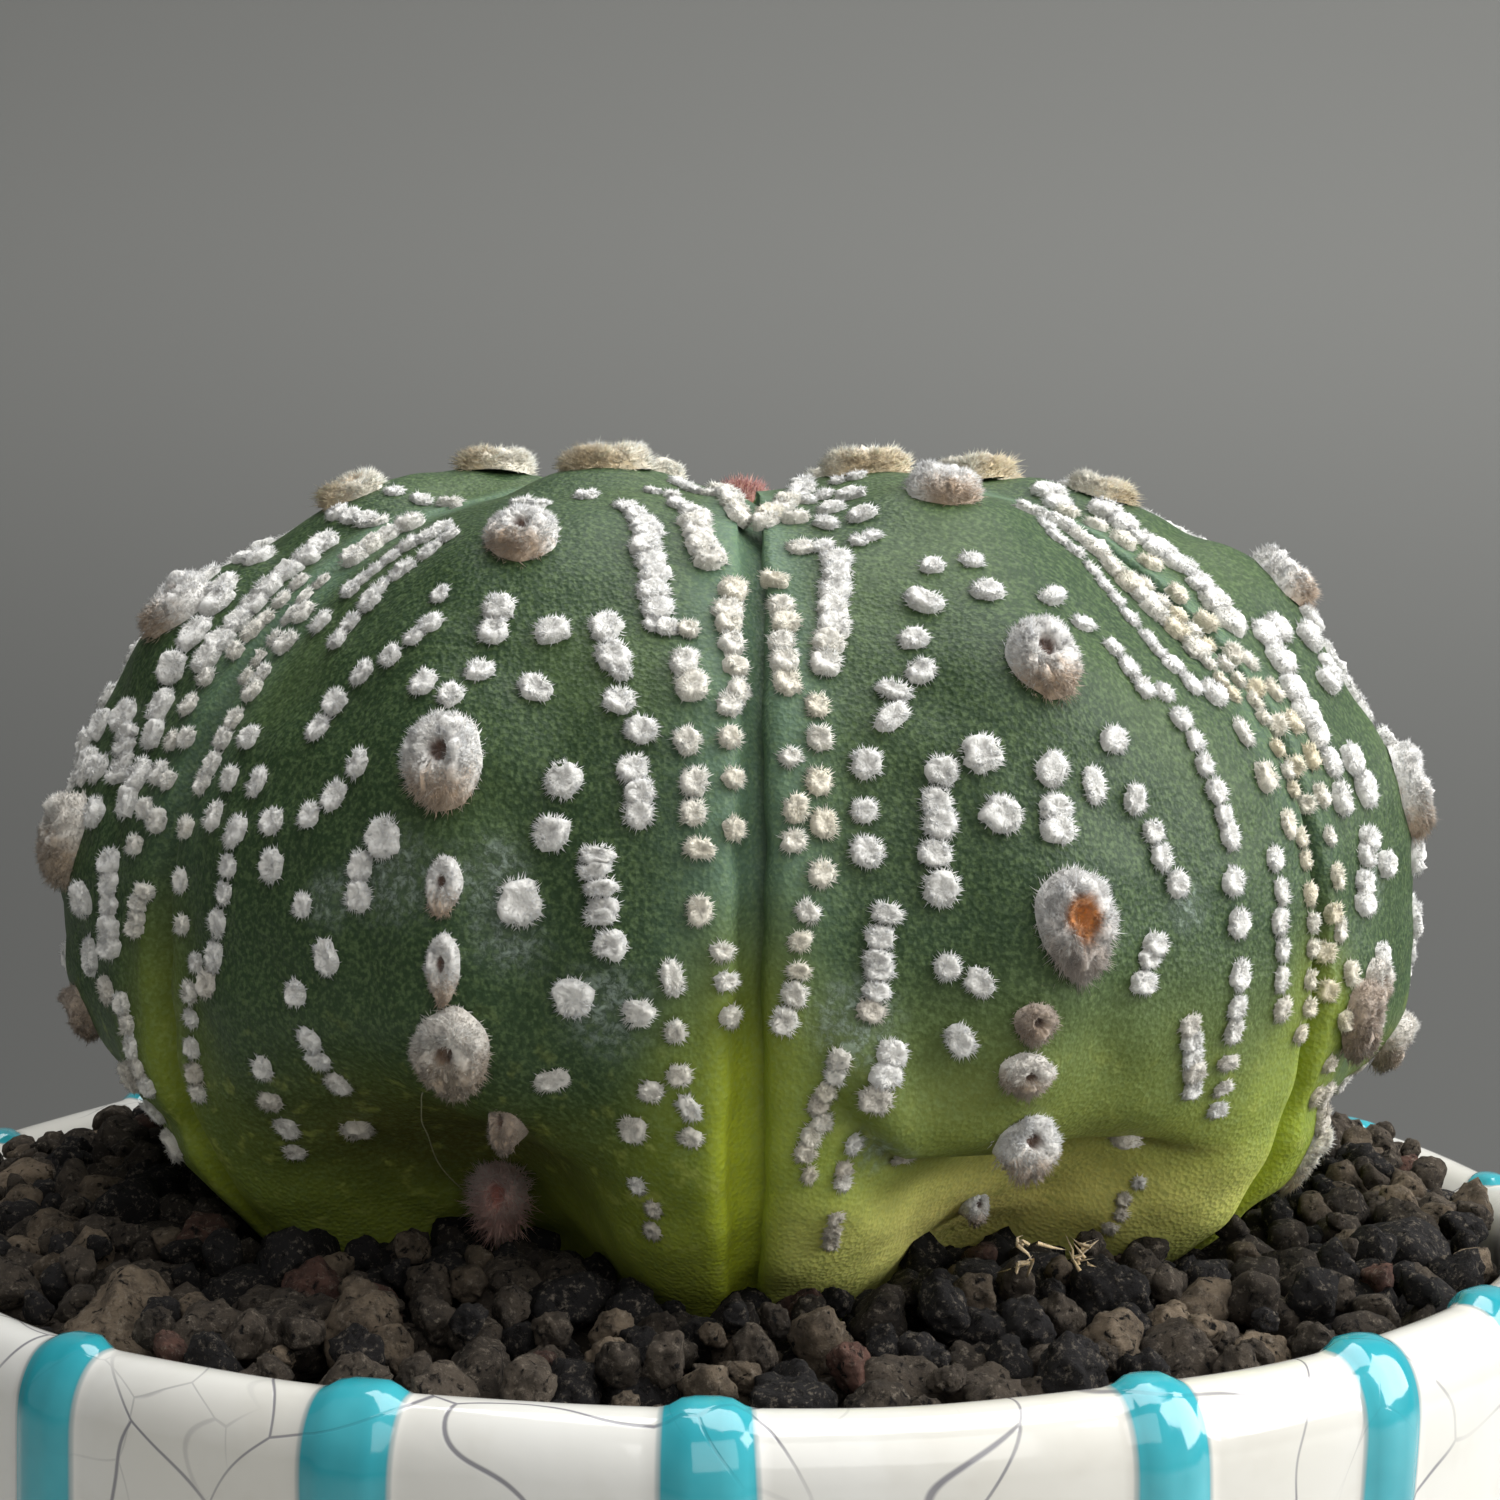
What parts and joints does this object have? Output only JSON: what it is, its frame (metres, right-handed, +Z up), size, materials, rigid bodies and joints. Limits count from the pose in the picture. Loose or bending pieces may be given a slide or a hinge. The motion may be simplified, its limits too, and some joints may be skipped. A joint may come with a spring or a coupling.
{
  "type": "potted round cactus",
  "caption": "Low round ribbed cactus with woolly areoles and white wool flecks, in dark grit in a round glazed pot with raised upright bands.",
  "frame": {"origin": "middle of the pot's foot ring, on the surface that the pot stands on", "axes": "+Z up; -Y towards the front, where a groove between two ribs faces the viewer; +X to the right"},
  "size_m": [0.1005, 0.1006, 0.1182],
  "materials": {
    "glazed_pot": "glossy ivory-white crackle glaze with raised turquoise bands",
    "screen": "matt black plastic mesh",
    "grit": "dull porous grains, dark grey-brown with some tan and reddish ones",
    "plant": "dark green skin with a soft sheen, yellow-green at the foot, with white and beige wool"
  },
  "bodies": {
    "root": {"pot": "glazed_pot", "drain_screen": "screen", "grit": "grit", "cactus": "plant"}
  },
  "joints": []
}
